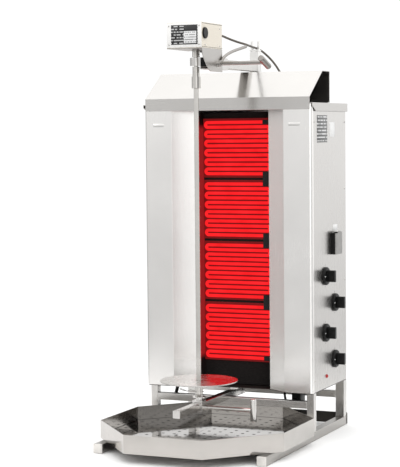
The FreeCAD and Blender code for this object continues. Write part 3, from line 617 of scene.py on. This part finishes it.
def add_motor_details():
    """Front cover, in an enamel whiter than the housing's cream as painted light for the stronger
    light on the front, with its rating plate, seams and screws.
    """
    low, high = (Vector(corner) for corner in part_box("motor_housing"))
    front = low.y
    cover = plate_mesh(
        "motor_cover", (low.x + 0.0008, front - 0.0012, low.z + 0.0010),
        (high.x - 0.0008, front + 0.001, high.z - 0.0010), 0.0009)
    add_piece("motor_cover", cover, COVER_PAINTED_LIT, "carriage")
    plate_low = (low.x + 0.0135, front - 0.0018, low.z + 0.0085)
    plate_high = (low.x + 0.0880, front - 0.0010, high.z - 0.0065)
    split = plate_low[0] + 0.48 * (plate_high[0] - plate_low[0])
    top = plate_high[2] - 0.016
    for name, start, end, look in (
            ("rating_plate_dark", plate_low, plate_high, PLATE_DARK),
            ("rating_plate_head", (split, plate_low[1] - 0.0001, top),
             (plate_high[0] - 0.0008, plate_high[1], plate_high[2] - 0.0008), PLATE_BLANK),
            ("rating_plate_edge", (split, plate_low[1] - 0.0001, plate_low[2] + 0.0008),
             (plate_high[0] - 0.0008, plate_high[1], top), PLATE_BLANK),
            ("rating_plate_pale", (split, plate_low[1] - 0.0003, plate_low[2] + 0.0030),
             (plate_high[0] - 0.0035, plate_high[1], top), PLATE_PALE)):
        plate = plate_mesh(name, start, end, 0.0002)
        add_piece(name, plate, look, "carriage")
    seams = bmesh.new()
    for height, thick in ((high.z - 0.0030, 0.0010), (low.z + 0.0022, 0.0009)):
        strip = plate_mesh("seam", (low.x - 0.0002, front + 0.002, height),
                           (high.x + 0.0002, high.y + 0.0002, height + thick), 0.0001)
        seams.from_mesh(strip)
        bpy.data.meshes.remove(strip)
    data = bpy.data.meshes.new("motor_seams")
    seams.to_mesh(data)
    seams.free()
    add_piece("motor_seams", data, SEAM, "carriage")
    spots = [(high.x, y, z) for y in (front + 0.020, high.y - 0.018) for z in (low.z + 0.008,)]
    spots.append((high.x, high.y - 0.018, high.z - 0.012))
    add_screws("motor_side_screws", spots, (1, 0, 0), 0.0022, "carriage")
    spots = [(x, front - 0.0012, z) for x in (low.x + 0.007, high.x - 0.007)
             for z in (low.z + 0.008, high.z - 0.009)]
    add_screws("motor_front_screws", spots, (0, -1, 0), 0.0022, "carriage")
    spots = [(x, y, high.z - 0.0014) for x in (low.x + 0.012, high.x - 0.012)
             for y in (front + 0.02, high.y - 0.02)]
    add_screws("motor_top_screws", spots, (0, 0, 1), 0.0022, "carriage")


def add_side_labels():
    """Blank plates on the right-hand side panel."""
    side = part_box("side_panel_right")[1][0]

    def label(name, y_low, y_high, z_low, z_high, look):
        """A thin plate on the panel, between two heights and depths."""
        mesh = plate_mesh(
            name, (side - 0.0002, y_low, z_low), (side + 0.0006, y_high, z_high), 0.0002)
        add_piece(name, mesh, look, "frame")

    label("data_plate", 0.116, 0.198, 0.812, 0.886, PLATE_SIDE)
    label("panel_label", 0.217, 0.260, 0.827, 0.867, PLATE_WHITE)
    label("switch_label", 0.243, 0.281, 0.564, 0.582, PLATE_WHITE)
    spots = [(side + 0.0005, y, z) for y in (0.120, 0.194) for z in (0.816, 0.882)]
    add_screws("plate_rivets", spots, (1, 0, 0), 0.0016, "frame")
    low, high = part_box("side_panel_right")
    spots = [(side, high[1] - 0.010, z) for z in (low[2] + 0.04, 0.42, 0.68, high[2] - 0.05)]
    spots += [(side, low[1] + 0.012, z) for z in (low[2] + 0.03, high[2] - 0.05)]
    add_screws("right_panel_screws", spots, (1, 0, 0), 0.0030, "frame")
    spots = [(-x, y, z) for x, y, z in spots]
    add_screws("left_panel_screws", spots, (-1, 0, 0), 0.0030, "frame")
    lens = turned_mesh("lamp_lens", [
        (0.0055, 0), (0.0055, 0.0010), (0.004, 0.0014), (0.004, 0.003), (0.0025, 0.004),
        (0, 0.0043)])
    lens.transform(Matrix.Translation((side, 0.186, 0.165)) @ facing((1, 0, 0)))
    add_piece("lamp_lens", lens, LENS, "frame")


def add_badges():
    """A blank raised badge near the top of each front panel."""
    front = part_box("front_wing_right")[0][1]
    for name, middle in (("badge_left", -0.205), ("badge_right", 0.198)):
        badge = plate_mesh(name, (middle - 0.016, front - 0.0002, 0.858),
                           (middle + 0.016, front + 0.0020, 0.867), 0.0003)
        add_piece(name, badge, WING_STEEL, "frame")


def add_knob_marks():
    """A pale index line on each knob's flange, and its dial ring."""
    for number in range(1, 5):
        low, high = (Vector(corner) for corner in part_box(f"knob_{number}"))
        middle = (low + high) / 2
        flange = high.x - 0.0225
        mark = plate_mesh(f"knob_mark_{number}", (flange, middle.y - 0.0245, middle.z - 0.0009),
                          (flange + 0.0009, middle.y - 0.0165, middle.z + 0.0009), 0.0001)
        add_piece(f"knob_mark_{number}", mark, WHITE_INK, f"dial_{number}")
        add_dial_ring(number, middle)


def add_dial_ring(number, middle):
    """Eight short marks printed round a knob."""
    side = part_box("side_panel_right")[1][0]
    ring = bmesh.new()
    for step in range(8):
        tick = plate_mesh("tick", (-0.0005, 0.0275, 0.0), (0.0005, 0.0310, 0.0003), 0.0001)
        tick.transform(Matrix.Rotation(math.radians(45 * step), 4, "Z"))
        tick.transform(Matrix.Translation((side, middle.y, middle.z)) @ facing((1, 0, 0)))
        ring.from_mesh(tick)
        bpy.data.meshes.remove(tick)
    data = bpy.data.meshes.new(f"dial_marks_{number}")
    ring.to_mesh(data)
    ring.free()
    add_piece(f"dial_marks_{number}", data, BLACK, "frame")


def add_under_cabinet():
    """Inlet box and conduit under the cabinet, and the clip at the spit's foot."""
    box = plate_mesh("inlet_box", (0.104, 0.287, 0.066), (0.131, 0.327, 0.131), 0.002)
    add_piece("inlet_box", box, BLACK, "frame")
    pipe = tube_mesh("inlet_conduit", smooth_line([
        (0.0755, 0.307, 0.1315), (0.0755, 0.307, 0.105), (0.0755, 0.307, 0.078),
        (0.080, 0.307, 0.066), (0.092, 0.307, 0.062), (0.106, 0.307, 0.070)]), 0.0034)
    add_piece("inlet_conduit", pipe, BLACK, "frame")
    stub = tube_mesh("inlet_gland", [
        Vector((-0.184, 0.140, 0.1315)), Vector((-0.1895, 0.140, 0.112)),
        Vector((-0.195, 0.140, 0.0925))], 0.0048)
    add_piece("inlet_gland", stub, BLACK, "frame")
    wire = tube_mesh("hub_clip", smooth_line([
        (-0.004, -0.1440, 0.157), (-0.030, -0.1440, 0.157), (-0.048, -0.1440, 0.160),
        (-0.055, -0.1375, 0.162), (-0.048, -0.1310, 0.160), (-0.036, -0.1305, 0.154),
        (-0.026, -0.1330, 0.160), (-0.014, -0.1330, 0.157), (0.014, -0.1330, 0.157)]), 0.0008, 8)
    add_piece("hub_clip", wire, ROD, "spit")


def add_beads():
    """Weld beads where the legs stand on the skids."""
    roots = bmesh.new()
    for name in ("skid_left", "skid_right"):
        low, high = (Vector(corner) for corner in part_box(name))
        legs = ((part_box("front_legs")[0][1], 0.020), (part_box("rear_legs")[0][1], 0.025))
        for start, size in legs:
            inner = low.x if low.x < 0 else high.x - size
            corners = [(inner, start), (inner + size, start), (inner + size, start + size),
                       (inner, start + size)]
            line = []
            for (ax, ay), (bx, by) in zip(corners, corners[1:] + corners[:1]):
                for step in range(12):
                    share = step / 12
                    line.append(Vector((ax + (bx - ax) * share, ay + (by - ay) * share, high.z)))
            line.append(line[0].copy())
            bead = tube_mesh("bead", line, 0.0011, 8, taper=lambda t: 1 + 0.18 * math.sin(130 * t))
            roots.from_mesh(bead)
            bpy.data.meshes.remove(bead)
    data = bpy.data.meshes.new("leg_welds")
    roots.to_mesh(data)
    roots.free()
    add_piece("leg_welds", data, SPIT_STEEL, "frame")


# Staging ------------------------------------------------------------------


def add_floor():
    """Pale floor that fades into the white of the studio."""
    mesh = bmesh.new()
    bmesh.ops.create_circle(mesh, cap_ends=True, segments=96, radius=3.0)
    data = bpy.data.meshes.new("floor")
    mesh.to_mesh(data)
    mesh.free()
    floor = new_object("floor", data, smooth=False)
    floor.location.z = -0.0005
    look = Look("floor_paint", (0.93, 0.93, 0.925), 0.8, Specular_IOR_Level=0.1)
    look.tint(look.noise((2, 2, 2), detail=3.0), (0.92, 0.92, 0.915), (0.94, 0.94, 0.935))
    place = look.add("ShaderNodeTexCoord")
    reach = look.add("ShaderNodeVectorMath", operation="LENGTH")
    look.join(place.outputs["Object"], reach.inputs[0])
    look.join(look.ramp(reach.outputs["Value"], 1.0, 0.0, 0.6, 1.7), look.shader.inputs["Alpha"])
    data.materials.append(look.material)


# Each patch of the studio: the direction it lies in, what it adds to the
# walls' brightness, and the cosines at which it starts and is full.
STUDIO = (
    ((0.0, 0.1, 1.0), 0.75, 0.35, 1.0),
    ((0.52, -0.85, 0.05), 0.55, 0.955, 0.995),
    ((0.95, -0.30, 0.0), -0.5, 0.80, 0.95),
    ((0.42, 0.90, 0.35), 0.30, 0.80, 1.0),
    ((-0.95, 0.20, 0.0), -0.35, 0.45, 1.0),
    ((-0.40, -0.91, 0.05), -0.22, 0.80, 1.0),
    ((-0.35, -0.90, 0.30), 0.25, 0.90, 1.0),
    ((0.0, 0.0, -1.0), -0.50, -0.05, 0.35))


def add_studio():
    """White walls to look at, and softer patches that the steel mirrors."""
    world = bpy.data.worlds.new("studio")
    bpy.context.scene.world = world
    world.use_nodes = True
    tree = world.node_tree
    walls = tree.nodes["Background"]
    walls.inputs["Color"].default_value = (1, 1, 1, 1)
    place = tree.nodes.new("ShaderNodeTexCoord")
    level = None
    for direction, gain, edge, full in STUDIO:
        dot = tree.nodes.new("ShaderNodeVectorMath")
        dot.operation = "DOT_PRODUCT"
        dot.inputs[1].default_value = Vector(direction).normalized()
        tree.links.new(place.outputs["Generated"], dot.inputs[0])
        span = tree.nodes.new("ShaderNodeMapRange")
        span.interpolation_type = "SMOOTHSTEP"
        span.inputs["From Min"].default_value = edge
        span.inputs["From Max"].default_value = full
        span.inputs["To Max"].default_value = gain
        tree.links.new(dot.outputs["Value"], span.inputs["Value"])
        total = tree.nodes.new("ShaderNodeMath")
        total.inputs[1].default_value = 1.0
        tree.links.new(span.outputs["Result"], total.inputs[0])
        if level:
            tree.links.new(level, total.inputs[1])
        level = total.outputs[0]
    rays = tree.nodes.new("ShaderNodeLightPath")
    seen = tree.nodes.new("ShaderNodeMix")
    seen.inputs[3].default_value = 1.05
    tree.links.new(rays.outputs["Is Camera Ray"], seen.inputs[0])
    tree.links.new(level, seen.inputs[2])
    tree.links.new(seen.outputs[0], walls.inputs["Strength"])
    bpy.context.scene.view_settings.view_transform = "Standard"


def add_lights():
    """Soft boxes high on both sides of the camera."""
    boxes = (("key", (2.2, -2.2, 2.4), 1.6, 22), ("fill", (-2.4, -2.0, 2.0), 1.6, 8))
    for name, spot, size, power in boxes:
        light = bpy.data.lights.new(name, "AREA")
        light.shape = "SQUARE"
        light.size = size
        light.energy = power
        holder = bpy.data.objects.new(name, light)
        holder.location = spot
        aim = Vector((0, 0, 0.6)) - Vector(spot)
        holder.rotation_euler = aim.to_track_quat("-Z", "Y").to_euler()
        bpy.context.scene.collection.objects.link(holder)


add_camera()
add_cord()
add_cord_support()
for node_name, look in NODE_LOOKS.items():
    finish_node(node_name, look)
add_motor_details()
add_side_labels()
add_badges()
add_knob_marks()
add_under_cabinet()
add_beads()
add_floor()
add_studio()
add_lights()
